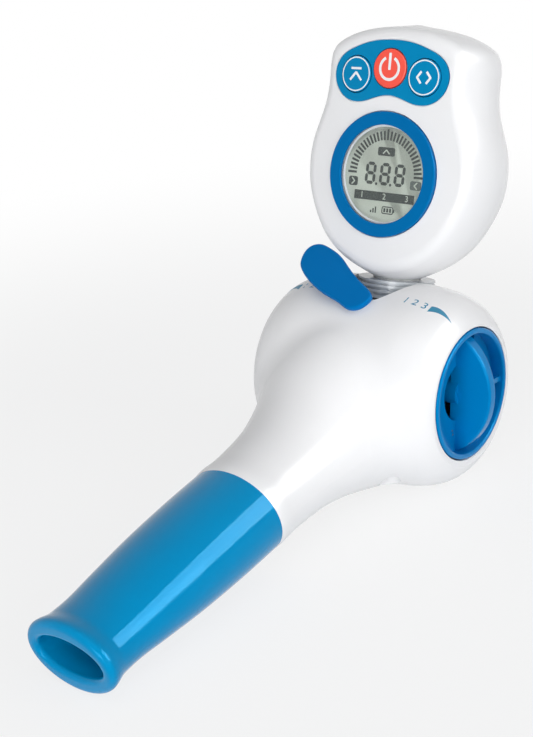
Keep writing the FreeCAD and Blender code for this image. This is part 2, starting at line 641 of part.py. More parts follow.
def face_parts():
    panel = kidney().common(crown_plate(0.2)).cut(crown_plate(-0.45))
    for x, z, r in KEYS:
        panel = panel.cut(cyl(V(x, -30, z), Y, r + 0.25, 30))
    rims = [e for e in panel.Edges if e.BoundBox.YMax < FACE_Y + 1.1 and e.Length > 60]
    nodes["keypad_panel"] = in_head(soften(panel, rims[:1], 0.15).removeSplitter())
    names = ("key_left", "key_power", "key_right")
    for name, (x, z, r) in zip(names, KEYS):
        top = crown_plate(0.55).common(cyl(V(x, -20, z), Y, r, 20 + FACE_Y + 2.3))
        top = soften(top, [e for e in top.Edges if e.BoundBox.YMax < FACE_Y + 0.3], 0.3)
        flange = cyl(V(x, FACE_Y + 2.3, z), Y, r + 0.25, 0.8)
        stem = cyl(V(x, FACE_Y + 3.0, z), Y, 1.4, SWITCH_Y - 0.6 - FACE_Y - 3.0)
        nodes[name] = in_head(join(top, flange, stem))
    outer_ring = ring(V(0, FACE_Y - 0.6, 0), Y, RING_R, WINDOW_R, RING_SEAT - FACE_Y + 0.6)
    outer_ring = outer_ring.cut(cyl(V(0, WINDOW_Y, 0), Y, WINDOW_R + 0.9, 5))
    fronts = [e for e in outer_ring.Edges if e.BoundBox.YMax < FACE_Y - 0.5]
    nodes["bezel_ring"] = in_head(soften(outer_ring, fronts, 0.35))
    nodes["display_window"] = in_head(cyl(V(0, WINDOW_Y, 0), Y, WINDOW_R + 0.8, RING_SEAT - WINDOW_Y))


WINDOW_Y = FACE_Y + 0.2
SWITCH_Y = BOARD_Y - 1.4


def electronics():
    lcd = cyl(V(0, RING_SEAT, 0), Y, WINDOW_R + 0.14, 2.0)
    nodes["lcd_panel"] = in_head(lcd)
    pad_back = FACE_Y + 3.4
    holder = ring(V(0, pad_back, 0), Y, 15.4, 13.5, BOARD_Y - pad_back)
    holder = holder.fuse(ring(V(0, BOARD_Y - 1.2, 0), Y, 13.6, 11.6, 1.2))
    holder = holder.cut(box(-5.8, 5.8, RING_SEAT, 0, -12.2, -10.2))
    holder = holder.cut(box(-5.8, 5.8, RING_SEAT, 0, 10.2, 12.2))
    nodes["lcd_holder"] = in_head(holder.removeSplitter())
    strips = []
    for z in (-11.2, 11.2):
        half = 5.5
        strips.append(box(-half, half, RING_SEAT + 2.0, BOARD_Y, z - 0.7, z + 0.7))
    nodes["contact_strips"] = in_head(Part.makeCompound(strips))
    board = box(-18.5, 18.5, BOARD_Y, BOARD_Y + BOARD_T, -17.0, 35.0).common(head_form(-HEAD_WALL - 0.8, 0))
    for x, z in HEAD_SCREWS:
        board = board.cut(cyl(V(x, -10, z), Y, 2.7, 20))
    nodes["circuit_board"] = in_head(board.removeSplitter())
    switches = []
    for x, z, r in KEYS:
        base = box(x - 3, x + 3, SWITCH_Y, BOARD_Y, z - 3, z + 3)
        switches.append(join(base, cyl(V(x, SWITCH_Y - 0.1, z), Y, 1.7, 0.5)))
    nodes["key_switches"] = in_head(Part.makeCompound(switches))
    back = BOARD_Y + BOARD_T
    sensor = box(-4, 4, back, 3.4, -13.0, -5.0).fuse(cyl(V(0, 0, -16.5), Z, 1.2, 3.6))
    sensor = sensor.cut(cyl(V(0, 0, -17), Z, 0.6, 6))
    nodes["pressure_sensor"] = in_head(sensor.removeSplitter())
    nodes["sensor_tube"] = in_head(ring(V(0, 0, -22.8), Z, 2.2, 1.2, 9.6))
    chips = []
    chips.append(box(-5, 5, back, back + 1.2, 2.0, 12.0))
    chips.append(box(8.2, 13.2, back, back + 1.0, -6.0, -1.0))
    chips.append(box(-13.4, -9.0, back, back + 1.6, -7.0, 1.4))
    chips.append(cyl(V(11.5, back, 8.0), Y, 2.2, 2.4))
    nodes["board_chips"] = in_head(Part.makeCompound(chips))


# Battery tray, cells, springs and contact plates behind the board
def battery_parts():
    top = CELL_TOP + 1.15
    tray = box(-12.0, 12.0, 7.2, 8.4, -18.4, top)
    tray = tray.fuse(box(-9.0, 9.0, 8.0, 14.6, -18.4, -17.2))
    tray = tray.fuse(box(-9.0, 9.0, 8.0, 14.8, CELL_TOP + 0.45, top))
    for side in (-1, 1):
        tray = tray.fuse(box(min(side * 10.9, side * 12.0), max(side * 10.9, side * 12.0), 8.0, 12.6, -17, top))
    tray = tray.fuse(box(-0.15, 0.15, 8.0, 11.0, -16.7, top - 0.3))
    for x in (-11.0, 11.0):
        tray = tray.fuse(cyl(V(x, BOARD_Y + BOARD_T, 14.0), Y, 1.6, 7.2 - BOARD_Y - BOARD_T))
    tray = tray.common(head_form(-HEAD_WALL - 0.35, 0))
    nodes["battery_tray"] = in_head(tray.removeSplitter())
    cells = []
    for side in (-1, 1):
        x = side * 5.6
        low = CELL_TOP - CELL_LEN
        body = cyl(V(x, CELL_Y, low + (0.0 if side > 0 else 0.9)), Z, CELL_R, CELL_LEN - 0.9)
        nub_z = CELL_TOP - 0.95 if side > 0 else low
        nub = cyl(V(x, CELL_Y, nub_z), Z, 1.9, 0.95)
        cells.append(join(body, nub))
    nodes["battery_cells"] = in_head(Part.makeCompound(cells))
    springs = []
    for side in (-1, 1):
        x = side * 5.6
        pitch = 0.95
        height = CELL_TOP - CELL_LEN + 16.7
        line = Part.makeHelix(pitch, height - 0.6, 2.6)
        start = V(2.6, 0, 0)
        profile = Part.Wire(Part.makeCircle(0.25, start, Y))
        coil = Part.Wire(line).makePipeShell([profile], True, True)
        coil.translate(V(x, CELL_Y, -16.7 + 0.3))
        springs.append(coil)
    nodes["battery_springs"] = in_head(Part.makeCompound(springs))
    plates = [box(-8.6, 8.6, 8.6, 14.4, -17.2, -16.75)]
    for side in (-1, 1):
        x = side * 5.6
        plates.append(box(x - 3, x + 3, 8.8, 14.8, CELL_TOP, CELL_TOP + 0.45))
    nodes["battery_contacts"] = in_head(Part.makeCompound(plates))


CELL_TOP = 29.4
CELL_Y = 13.9


# Stem that plugs into the core socket and carries the pressure to the sensor
def head_stem():
    flange_z = HEAD_FLAT + 3.6
    stem = cyl(V(0, 0, -39.6), Z, STEM_R, flange_z + 39.6)
    stem = stem.fuse(cyl(V(0, 0, flange_z), Z, 8.6, 1.3))
    stem = stem.fuse(cyl(V(0, 0, flange_z), Z, 1.2, 3.4))
    stem = stem.cut(cyl(V(0, 0, -41), Z, 4.4, 12.0))
    stem = stem.cut(cyl(V(0, 0, -41), Z, 0.7, 30))
    stem = stem.cut(ring(V(0, 0, -37.6), Z, STEM_R + 1, STEM_R - 1.0, 1.9))
    low = [e for e in stem.Edges if e.BoundBox.ZMax < -39.5 and e.Length > 35]
    stem = soften(stem, low, 0.5)
    nodes["head_stem"] = in_head(stem.removeSplitter())
    half = 0.63
    seal = Part.makeTorus(STEM_R - 1.0 + half, half, V(0, 0, -36.65), Z)
    nodes["stem_seal"] = in_head(seal)


def lay_down():
    turn = FreeCAD.Placement(ORIGIN, FreeCAD.Rotation(X, math.degrees(TILT)))
    for name in nodes:
        shape = nodes[name]
        shape.Placement = turn.multiply(shape.Placement)
    whole = Part.makeCompound(list(nodes.values()))
    bound = whole.optimalBoundingBox(False)
    centre = V((bound.XMin + bound.XMax) / 2, (bound.YMin + bound.YMax) / 2, bound.ZMin)
    for name in nodes:
        shape = nodes[name]
        shape.translate(centre * -1)
    print("shift", centre, "tilt", math.degrees(TILT), "box", bound)


body_shells()
air_core()
flow_side()
body_screws()
mouthpiece()
port_cap()
port_collar()
head_shells()
face_parts()
electronics()
battery_parts()
head_stem()
lay_down()

os.makedirs("parts", exist_ok=True)
for name, shape in nodes.items():
    if not shape.isValid():
        print("invalid", name)
    if len(shape.Solids) == 0:
        print("no solid", name)
    shape.exportStep("parts/" + name + ".step")
    print(name, len(shape.Solids), round(shape.Volume, 1))
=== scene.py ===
import bpy
import math
from mathutils import Matrix, Vector


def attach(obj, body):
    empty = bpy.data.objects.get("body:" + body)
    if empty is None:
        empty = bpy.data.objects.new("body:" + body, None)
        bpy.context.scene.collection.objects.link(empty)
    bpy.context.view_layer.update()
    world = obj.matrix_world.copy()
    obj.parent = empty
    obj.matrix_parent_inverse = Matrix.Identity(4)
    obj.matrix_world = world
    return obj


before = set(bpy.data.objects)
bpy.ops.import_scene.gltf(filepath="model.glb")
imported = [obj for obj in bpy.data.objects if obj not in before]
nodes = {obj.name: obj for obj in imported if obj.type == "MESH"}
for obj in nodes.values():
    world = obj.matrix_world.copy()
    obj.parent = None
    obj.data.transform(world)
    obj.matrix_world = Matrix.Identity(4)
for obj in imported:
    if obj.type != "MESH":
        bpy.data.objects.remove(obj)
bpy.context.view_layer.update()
bpy.ops.object.select_all(action="DESELECT")


# Helpers: colours are written as sRGB codes and sizes in millimetres
def linear(code):
    parts = [int(code[i:i + 2], 16) / 255 for i in (0, 2, 4)]
    return tuple(c / 12.92 if c <= 0.04045 else ((c + 0.055) / 1.055) ** 2.4 for c in parts) + (1.0,)


def add_node(tree, kind, settings=None, links=None):
    node = tree.nodes.new(kind)
    for key, value in (settings or {}).items():
        if isinstance(key, int) or key in node.inputs:
            node.inputs[key].default_value = value
        else:
            setattr(node, key, value)
    for key, source in (links or {}).items():
        tree.links.new(source, node.inputs[key])
    return node


def mm(size):
    return size / 1000.0


# Moulded plastic: two near colours that drift over some centimetres, a roughness that
# wanders a little, and the fine ripple of the tool's polish in the bump.
def moulded(name, colour, drift, rough, ripple, depth, ior=1.5, sheen=None, gloss=0.5):
    material = bpy.data.materials.new(name)
    material.use_nodes = True
    tree = material.node_tree
    shader = tree.nodes["Principled BSDF"]
    shader.inputs["IOR"].default_value = ior
    shader.inputs["Specular IOR Level"].default_value = gloss
    if sheen:
        shader.inputs["Specular Tint"].default_value = linear(sheen)
    place = add_node(tree, "ShaderNodeTexCoord").outputs["Object"]
    flow = add_node(tree, "ShaderNodeTexNoise", {"Scale": 1 / mm(24), "Detail": 2.0}, {"Vector": place})
    tint = add_node(tree, "ShaderNodeMix", {"data_type": "RGBA", 6: linear(colour), 7: linear(drift)},
                    {0: flow.outputs["Fac"]})
    tree.links.new(tint.outputs[2], shader.inputs["Base Color"])
    wear = add_node(tree, "ShaderNodeTexNoise", {"Scale": 1 / mm(6), "Detail": 3.0}, {"Vector": place})
    spread = add_node(tree, "ShaderNodeMapRange", {3: rough * 0.85, 4: rough * 1.2}, {0: wear.outputs["Fac"]})
    tree.links.new(spread.outputs[0], shader.inputs["Roughness"])
    skin = add_node(tree, "ShaderNodeTexNoise", {"Scale": 1 / mm(ripple), "Detail": 2.0}, {"Vector": place})
    bump = add_node(tree, "ShaderNodeBump", {"Strength": 0.6, "Distance": mm(depth)},
                    {"Height": skin.outputs["Fac"]})
    tree.links.new(bump.outputs["Normal"], shader.inputs["Normal"])
    return material


def dress(material, *names):
    for name in names:
        nodes[name].data.materials.clear()
        nodes[name].data.materials.append(material)


# Body shells: two halves of one hollow white body, injection-moulded in ABS and closed by
# four screws from below. The polished tool leaves a gloss with a faint ripple.
white_abs = moulded("white_ABS_polished_moulding", "F1F1F2", "EEEEEF",
                    rough=0.24, ripple=4.0, depth=0.002, ior=1.54, gloss=0.3)
dress(white_abs, "body_upper_shell", "body_lower_shell")


# Air core: the one-piece air way inside the body, moulded in natural polypropylene. It is
# milky and a little waxy, and its spigot carries the mouthpiece.
natural_pp = moulded("natural_polypropylene_moulding", "E4E6E4", "DADDDB",
                     rough=0.38, ripple=2.0, depth=0.01, ior=1.49)
dress(natural_pp, "air_core")

# Valve seats and orifice plates: dark glass-filled nylon, moulded, with the dull grain that
# the filling leaves. The plates show as a dark ring through the dials' ports.
dark_nylon = moulded("dark_glass_filled_nylon_moulding", "14202C", "1B2936",
                     rough=0.5, ripple=0.8, depth=0.02, ior=1.53)
dress(dark_nylon, "exhale_seat", "inhale_seat", "exhale_orifice_plate", "inhale_orifice_plate")

# Valve flaps: thin discs of translucent silicone on headed pins. Seals: black silicone and
# nitrile rings, moulded matt, pressed into their grooves.
clear_silicone = moulded("translucent_silicone_sheet", "D5D9D8", "C9CFCD",
                         rough=0.42, ripple=1.5, depth=0.01, ior=1.41)
black_silicone = moulded("black_silicone_moulding", "191A1B", "222324",
                         rough=0.55, ripple=1.0, depth=0.015, ior=1.41)
dress(clear_silicone, "exhale_flap", "inhale_flap", "sensor_tube")
dress(black_silicone, "neck_seal", "collar_gasket", "stem_seal", "exhale_dial_ring",
      "inhale_dial_ring", "contact_strips")


# Screws: cold-headed steel, zinc plated. The plating gives a pale bluish metal, slightly
# streaked round the head by the turning of the driver.
def plated(name, colour, drift, rough, grain):
    material = bpy.data.materials.new(name)
    material.use_nodes = True
    tree = material.node_tree
    shader = tree.nodes["Principled BSDF"]
    shader.inputs["Metallic"].default_value = 1.0
    place = add_node(tree, "ShaderNodeTexCoord").outputs["Object"]
    cloud = add_node(tree, "ShaderNodeTexNoise", {"Scale": 1 / mm(grain), "Detail": 4.0}, {"Vector": place})
    tint = add_node(tree, "ShaderNodeMix", {"data_type": "RGBA", 6: linear(colour), 7: linear(drift)},
                    {0: cloud.outputs["Fac"]})
    tree.links.new(tint.outputs[2], shader.inputs["Base Color"])
    spread = add_node(tree, "ShaderNodeMapRange", {3: rough * 0.7, 4: rough * 1.3}, {0: cloud.outputs["Fac"]})
    tree.links.new(spread.outputs[0], shader.inputs["Roughness"])
    return material


zinc_steel = plated("zinc_plated_steel", "B9BEC4", "9FA5AC", rough=0.32, grain=1.2)
dress(zinc_steel, "body_screws", "head_screws", "exhale_dial_screw", "inhale_dial_screw")

# Flow dials: cups with an arched grip fin, moulded in blue ABS and left glossy. They turn on
# the orifice plates, and the open half of each floor carries plain printed numbers.
dial_abs = moulded("blue_ABS_dial_moulding", "007FC0", "0078B8",
                   rough=0.24, ripple=2.5, depth=0.003, ior=1.54, sheen="38B6F0", gloss=0.35)
dress(dial_abs, "exhale_dial", "inhale_dial")

# The body was drawn with its dial axis level and then laid down on its rest plane
LAID = math.radians(7.199152336858381)
BODY = Matrix.Translation((0, mm(39.29622), mm(27.922727))) @ Matrix.Rotation(LAID, 4, "X")


def page(right, up, out, corner=(0, 0, 0)):
    columns = Matrix((right, up, out)).transposed().to_4x4()
    columns.translation = Vector(corner)
    return columns


def pick(piece):
    bpy.ops.object.select_all(action="DESELECT")
    piece.select_set(True)
    bpy.context.view_layer.objects.active = piece


def use(piece, modifier, **settings):
    pick(piece)
    step = piece.modifiers.new(modifier.lower(), modifier)
    for key, value in settings.items():
        setattr(step, key, value)
    bpy.ops.object.modifier_apply(modifier=step.name)


def fix_in_place(piece, where):
    pick(piece)
    piece.matrix_world = where
    bpy.ops.object.transform_apply(location=True, rotation=True, scale=True)


# A flat drawing is laid on its page, sunk onto the piece below and given the ink's depth
def print_on(piece, where, below, ink, body, depth=0.03):
    pick(piece)
    bpy.ops.object.transform_apply(location=True, rotation=True, scale=True)
    piece.matrix_world = where
    use(piece, "SHRINKWRAP", target=nodes[below], wrap_method="PROJECT", use_project_z=True,
        use_negative_direction=True, use_positive_direction=True, offset=mm(depth))
    use(piece, "SOLIDIFY", thickness=mm(depth * 0.8), offset=-1.0)
    fix_in_place(piece, where)
    pick(piece)
    bpy.ops.object.mode_set(mode="EDIT")
    bpy.ops.mesh.select_all(action="SELECT")
    bpy.ops.mesh.normals_make_consistent(inside=False)
    bpy.ops.object.mode_set(mode="OBJECT")
    piece.data.materials.clear()
    piece.data.materials.append(ink)
    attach(piece, body)


def numeral(name, text, size, place, turn=0.0):
    bpy.ops.object.select_all(action="DESELECT")
    bpy.ops.object.text_add(location=(mm(place[0]), mm(place[1]), 0), rotation=(0, 0, math.radians(turn)))
    letters = bpy.context.object
    letters.name = name
    letters.data.body = text
    letters.data.size = mm(size)
    letters.data.align_x = "CENTER"
    letters.data.align_y = "CENTER"
    letters.data.resolution_u = 6
    bpy.ops.object.convert(target="MESH")
    return bpy.context.object


def joined(name, pieces):
    bpy.ops.object.select_all(action="DESELECT")
    for piece in pieces:
        piece.select_set(True)
    bpy.context.view_layer.objects.active = pieces[0]
    bpy.ops.object.join()
    pieces[0].name = name
    return pieces[0]


# Pad-printing ink: a thin matt film with a grainy edge of pigment
DIAL_FLOOR = 29
DIAL_NUMBERS = ((170.6, 10.9), (237.7, 11.4))
DIAL_NUMBER_SIZE = 2.6
dial_ink = moulded("grey_blue_pad_print_ink", "23506E", "2B5A78",
                   rough=0.55, ripple=0.4, depth=0.004, ior=1.5)
for side, way, body in (("exhale", 1, "exhale_knob"), ("inhale", -1, "inhale_knob")):
    dial_page = BODY @ page((0, way, 0), (0, 0, 1), (way, 0, 0), (way * mm(DIAL_FLOOR), 0, 0))
    numbers = []
    for i, (angle, radius) in enumerate(DIAL_NUMBERS):
        a = math.radians(angle)
        spot = (way * radius * math.cos(a), radius * math.sin(a))
        numbers.append(numeral(side + "_number", str(i + 1), DIAL_NUMBER_SIZE, spot))
    print_on(joined(side + "_dial_numbers", numbers), dial_page, side + "_dial", dial_ink, body)

# Body marks: a tapering wedge and plain numbers beside each dial, pad printed on the shell in
# the teal of the sleeve. They bend with the barrel.
teal_ink = moulded("teal_pad_print_ink", "0F82A6", "0C7A9E",
                   rough=0.45, ripple=0.4, depth=0.004, ior=1.5)
ABOVE_SHELL = 40
shell_page = BODY @ page((1, 0, 0), (0, 1, 0), (0, 0, 1), (0, 0, mm(ABOVE_SHELL)))
WEDGE_SPINE = ((21.06, -2.34), (23.76, -1.30), (27.12, -1.97))
WEDGE_HALF = 1.24
SCALE_SIZE, SCALE_AT = 3.6, (16.7, -2.1)
for side, way in (("exhale", 1), ("inhale", -1)):
    bpy.ops.object.select_all(action="DESELECT")
    bpy.ops.mesh.primitive_grid_add(x_subdivisions=28, y_subdivisions=4, size=1)
    wedge = bpy.context.object
    start, middle, tip = WEDGE_SPINE
    for vertex in wedge.data.vertices:
        t = vertex.co.x + 0.5
        first, second, third = (1 - t) * (1 - 2 * t), 4 * t * (1 - t), t * (2 * t - 1)
        x = first * start[0] + second * middle[0] + third * tip[0]
        y = first * start[1] + second * middle[1] + third * tip[1]
        half = WEDGE_HALF * (1 - t ** 1.6) + 0.02
        vertex.co = (mm(way * x), mm(y + 2 * half * vertex.co.y), 0)
    if way < 0:
        bpy.ops.object.mode_set(mode="EDIT")
        bpy.ops.mesh.select_all(action="SELECT")
        bpy.ops.mesh.flip_normals()
        bpy.ops.object.mode_set(mode="OBJECT")
    print_on(wedge, shell_page, "body_upper_shell", teal_ink, "trainer_body")
    wedge.name = side + "_wedge_mark"
    scale = numeral(side + "_scale_numbers", "1 2 3", SCALE_SIZE, (way * SCALE_AT[0], SCALE_AT[1]))
    print_on(scale, shell_page, "body_upper_shell", teal_ink, "trainer_body")

# Mouthpiece: an oval sleeve pushed over the spigot, moulded in blue polypropylene with a
# polished outside and a thick rounded lip.
sleeve_pp = moulded("blue_polypropylene_polished_moulding", "008EC4", "0088BE",
                    rough=0.08, ripple=18.0, depth=0.001, ior=1.49, sheen="5CC0F4", gloss=0.3)
dress(sleeve_pp, "mouthpiece")

# Port cap: a soft flap of blue thermoplastic elastomer, moulded satin, turning on its own
# stub, which a nylon clip holds from inside.
cap_tpe = moulded("blue_elastomer_satin_moulding", "006FB4", "0068AC",
                  rough=0.5, ripple=1.2, depth=0.006, ior=1.5, sheen="2AA0E8", gloss=0.2)
dress(cap_tpe, "port_cap")
dress(dark_nylon, "cap_retainer")


# Collar: a ribbed ring of clear polycarbonate between body and meter. It passes some light
# and its grooves show as grey lines.
def clear_plastic(name, colour, alpha, rough, ripple, depth, ior=1.585):
    material = moulded(name, colour, colour, rough, ripple, depth, ior=ior, gloss=0.3)
    shader = material.node_tree.nodes["Principled BSDF"]
    shader.inputs["Alpha"].default_value = alpha
    return material


clear_collar = clear_plastic("clear_polycarbonate_ribbed_moulding", "CFD4D9",
                             alpha=0.72, rough=0.12, ripple=2.0, depth=0.01)
dress(clear_collar, "port_collar")

# Meter head: a front shell, a rear cover and a sliding battery door in the same white ABS.
# The cover is held by two screws at the top.
dress(white_abs, "head_front_shell", "head_rear_cover", "battery_door")
dress(natural_pp, "head_stem")

# Keypad: a kidney-shaped inlay of printed polycarbonate film, with two keys in its own
# colour and one red key. Rings and symbols are screen printed on the keys in white.
panel_film = moulded("blue_printed_polycarbonate_film", "0085B8", "007FB2",
                     rough=0.36, ripple=0.9, depth=0.004, ior=1.585, sheen="48B8EE")
red_film = moulded("red_printed_polycarbonate_film", "F9523E", "F44A37",
                   rough=0.36, ripple=0.9, depth=0.01, ior=1.585)
white_ink = moulded("white_screen_print_ink", "F4F6F7", "ECEFF1",
                    rough=0.5, ripple=0.4, depth=0.004, ior=1.5)
dress(panel_film, "keypad_panel", "key_left", "key_right")
dress(red_film, "key_power")

# The meter leans back on the body; its own axes run right, up and out of its face
HEAD_Y, HEAD_Z, HEAD_LEAN = 25.26, 49.81, -22.58
BEFORE_FACE = 16
HEAD = (BODY @ Matrix.Translation((0, mm(HEAD_Y), mm(HEAD_Z)))
        @ Matrix.Rotation(math.radians(HEAD_LEAN), 4, "X"))
FACE = HEAD @ page((1, 0, 0), (0, 0, 1), (0, -1, 0), (0, -mm(BEFORE_FACE), 0))


def drawn_plate(name, width, height, corner, centre, turn=0.0, bends=3):
    bpy.ops.object.select_all(action="DESELECT")
    bpy.ops.mesh.primitive_plane_add(size=1)
    plate = bpy.context.object
    plate.name = name
    bpy.ops.object.mode_set(mode="EDIT")
    bpy.ops.transform.resize(value=(mm(width), mm(height), 1))
    if corner:
        bpy.ops.mesh.bevel(offset=mm(corner), segments=bends, affect="VERTICES")
    bpy.ops.object.mode_set(mode="OBJECT")
    plate.data.transform(Matrix.Translation((mm(centre[0]), mm(centre[1]), 0))
                         @ Matrix.Rotation(math.radians(turn), 4, "Z"))
    return plate


def drawn_ring(name, outer, width, centre, gap=0.0):
    bpy.ops.object.select_all(action="DESELECT")
    bpy.ops.mesh.primitive_circle_add(vertices=120, radius=mm(outer), fill_type="NGON")
    band = bpy.context.object
    band.name = name
    bpy.ops.object.mode_set(mode="EDIT")
    bpy.ops.mesh.select_all(action="SELECT")
    bpy.ops.mesh.inset(thickness=mm(width))
    bpy.ops.mesh.delete(type="FACE")
    bpy.ops.mesh.select_all(action="DESELECT")
    bpy.ops.object.mode_set(mode="OBJECT")
    if gap:
        for face in band.data.polygons:
            face.select = abs(math.degrees(math.atan2(face.center.x, face.center.y))) < gap
        bpy.ops.object.mode_set(mode="EDIT")
        bpy.ops.mesh.select_mode(type="FACE")
        bpy.ops.mesh.delete(type="FACE")
        bpy.ops.object.mode_set(mode="OBJECT")
    band.data.transform(Matrix.Translation((mm(centre[0]), mm(centre[1]), 0)))
    return band


KEY_RING, KEY_RING_WIDTH = 4.55, 0.32
STROKE = 0.62
KEY_AT = {"left": (-10.7, 26.0), "right": (10.7, 26.0), "power": (0.0, 27.9)}
for side in ("left", "right"):
    key_ring = drawn_ring(side + "_key_ring", KEY_RING, KEY_RING_WIDTH, KEY_AT[side])
    print_on(key_ring, FACE, "key_" + side, white_ink, side + "_button")

# Left key: hold-the-peak symbol, a bar over an arrow head. Right key: two arrow heads, one
# each way, for stepping through the scales. Power key: the plain ring and bar.
x, z = KEY_AT["left"]
peak = [drawn_plate("peak_bar", 3.4, 0.6, 0.1, (x, z + 1.5))]
for sign in (-1, 1):
    peak.append(drawn_plate("peak_stroke", STROKE, 2.9, 0.1, (x + sign * 0.92, z - 0.55), sign * 42.0))
print_on(joined("left_key_symbol", peak), FACE, "key_left", white_ink, "left_button")
x, z = KEY_AT["right"]
steps = []
for sign in (-1, 1):
    for turn in (-1, 1):
        steps.append(drawn_plate("step_stroke", STROKE, 2.1, 0.1,
                                 (x + sign * 1.43, z + turn * 0.72), sign * turn * 38.0))
print_on(joined("right_key_symbol", steps), FACE, "key_right", white_ink, "right_button")
x, z = KEY_AT["power"]
power = [drawn_ring("power_ring", 3.3, 0.75, (x, z), gap=26.0),
         drawn_plate("power_bar", 0.8, 4.5, 0.25, (x, z + 1.8))]
print_on(joined("power_key_symbol", power), FACE, "key_power", white_ink, "power_button")

# Display: a blue acrylic ring presses a clear acrylic window onto the liquid crystal glass.
# The glass is grey-green, and its dark segments are etched just behind the window.
ring_acrylic = moulded("blue_acrylic_ring_polished", "006EAE", "0068A8",
                       rough=0.12, ripple=5.0, depth=0.002, ior=1.49, sheen="2AA0E8", gloss=0.3)
dress(ring_acrylic, "bezel_ring")
window_acrylic = clear_plastic("clear_acrylic_window_polished", "DCE4E0",
                               alpha=0.07, rough=0.05, ripple=20.0, depth=0.001, ior=1.49)
dress(window_acrylic, "display_window")
lcd_glass = moulded("liquid_crystal_glass_grey_green", "C4CCC0", "BCC5B8",
                    rough=0.3, ripple=0.7, depth=0.004, ior=1.52)
dress(lcd_glass, "lcd_panel")
segment_black = moulded("liquid_crystal_segment_dark", "1A2421", "212C28",
                        rough=0.4, ripple=0.4, depth=0.003, ior=1.52)
segment_grey = moulded("liquid_crystal_segment_faded", "4E5954", "545F5A",
                       rough=0.4, ripple=0.4, depth=0.003, ior=1.52)
GLASS_FACE = 10.9
LCD = HEAD @ page((1, 0, 0), (0, 0, 1), (0, -1, 0), (0, -mm(GLASS_FACE), 0))
INK = 0.03


def show_on_glass(piece, ink, lift=0.0):
    pick(piece)
    bpy.ops.object.mode_set(mode="EDIT")
    bpy.ops.mesh.select_all(action="SELECT")
    bpy.ops.mesh.extrude_region_move(TRANSFORM_OT_translate={"value": (0, 0, mm(INK))})
    bpy.ops.mesh.select_all(action="SELECT")
    bpy.ops.mesh.normals_make_consistent(inside=False)
    bpy.ops.object.mode_set(mode="OBJECT")
    piece.data.transform(Matrix.Translation((0, 0, mm(lift))))
    fix_in_place(piece, LCD)
    piece.data.materials.clear()
    piece.data.materials.append(ink)
    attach(piece, "meter_head")


# Scale: thirty-one bars on a half circle, the first, middle and last one longer
SCALE_INNER, SCALE_OUTER, SCALE_LONG = 9.15, 11.55, 12.0
SCALE_STEP = 6.0
bars = []
for i in range(31):
    angle = SCALE_STEP * i
    outer = SCALE_LONG if i % 15 == 0 else SCALE_OUTER
    middle = (outer + SCALE_INNER) / 2
    a = math.radians(angle)
    bars.append(drawn_plate("scale_bar", STROKE, outer - SCALE_INNER, 0.06,
                            (0.25 + middle * math.cos(a), middle * math.sin(a)), angle - 90.0))
show_on_glass(joined("lcd_scale", bars), segment_black)

# Digits: three figures of seven mitred bars and two points
DIGIT_W, DIGIT_H, DIGIT_T = 2.45, 5.1, 0.9
MITRE = 0.34
SEGMENTS = ((0, 1, False), (0, 0, False), (0, -1, False),
            (-1, 0.5, True), (1, 0.5, True), (-1, -0.5, True), (1, -0.5, True))
strokes = []
for column in (-4.35, 0.28, 4.93):
    for dx, dz, upright in SEGMENTS:
        x = column + dx * DIGIT_W / 2 + dz * 0.14
        z = 0.1 + dz * DIGIT_H / 2
        width, height = (DIGIT_T, DIGIT_H / 2 - MITRE) if upright else (DIGIT_W - MITRE, DIGIT_T)
        lean = -3.0 if upright else 0.0
        strokes.append(drawn_plate("digit_bar", width, height, DIGIT_T * 0.42, (x, z), lean, 1))
for x in (-2.32, 2.2):
    strokes.append(drawn_plate("digit_point", 0.72, 0.72, 0.2, (x, -2.65), 0.0, 1))
show_on_glass(joined("lcd_digits", strokes), segment_black)

# Boxes: one under the scale, one at each of its ends, and the long bar below the figures.
# They hold plain arrow heads and numbers where the real glass has words.
boxes = [drawn_plate("upper_box", 5.4, 2.3, 0.5, (0.15, 6.1)),
         drawn_plate("left_box", 2.95, 2.5, 0.6, (-9.8, -2.45)),
         drawn_plate("long_bar", 19.2, 2.45, 0.05, (0.5, -5.95))]
show_on_glass(joined("lcd_boxes", boxes), segment_black)
show_on_glass(drawn_plate("lcd_right_box", 3.5, 2.4, 0.6, (10.2, -2.15)), segment_grey)
light = []
for sign in (-1, 1):
    light.append(drawn_plate("peak_mark", 0.34, 1.5, 0.05, (0.15 + sign * 0.5, 6.05), sign * 45.0))
    light.append(drawn_plate("in_mark", 0.34, 1.35, 0.05, (-9.8, -2.45 + sign * 0.42), sign * 45.0))
    light.append(drawn_plate("out_mark", 0.34, 1.35, 0.05, (10.2, -2.15 - sign * 0.42), sign * 45.0))
for text, x in (("1", -6.6), ("2", 0.6), ("3", 7.8)):
    light.append(numeral("bar_number", text, 2.3, (x, -5.95)))
show_on_glass(joined("lcd_light_marks", light), lcd_glass, INK)

# Battery outline with its charge, beside three rising level bars
rim = drawn_plate("battery_outline", 3.75, 2.1, 0.55, (2.0, -9.45))
pick(rim)
bpy.ops.object.mode_set(mode="EDIT")
bpy.ops.mesh.select_all(action="SELECT")
bpy.ops.mesh.inset(thickness=mm(0.3))
bpy.ops.mesh.delete(type="FACE")
bpy.ops.object.mode_set(mode="OBJECT")
signs = [rim, drawn_plate("battery_nub", 0.35, 0.9, 0.0, (4.05, -9.45))]
for i in range(3):
    signs.append(drawn_plate("charge_bar", 0.62, 1.1, 0.05, (1.05 + 0.92 * i, -9.45)))
    signs.append(drawn_plate("level_bar", 0.45, 0.7 + 0.5 * i, 0.05, (-3.35 + 0.75 * i, -10.1 + 0.25 * i)))
show_on_glass(joined("lcd_signs", signs), segment_black)

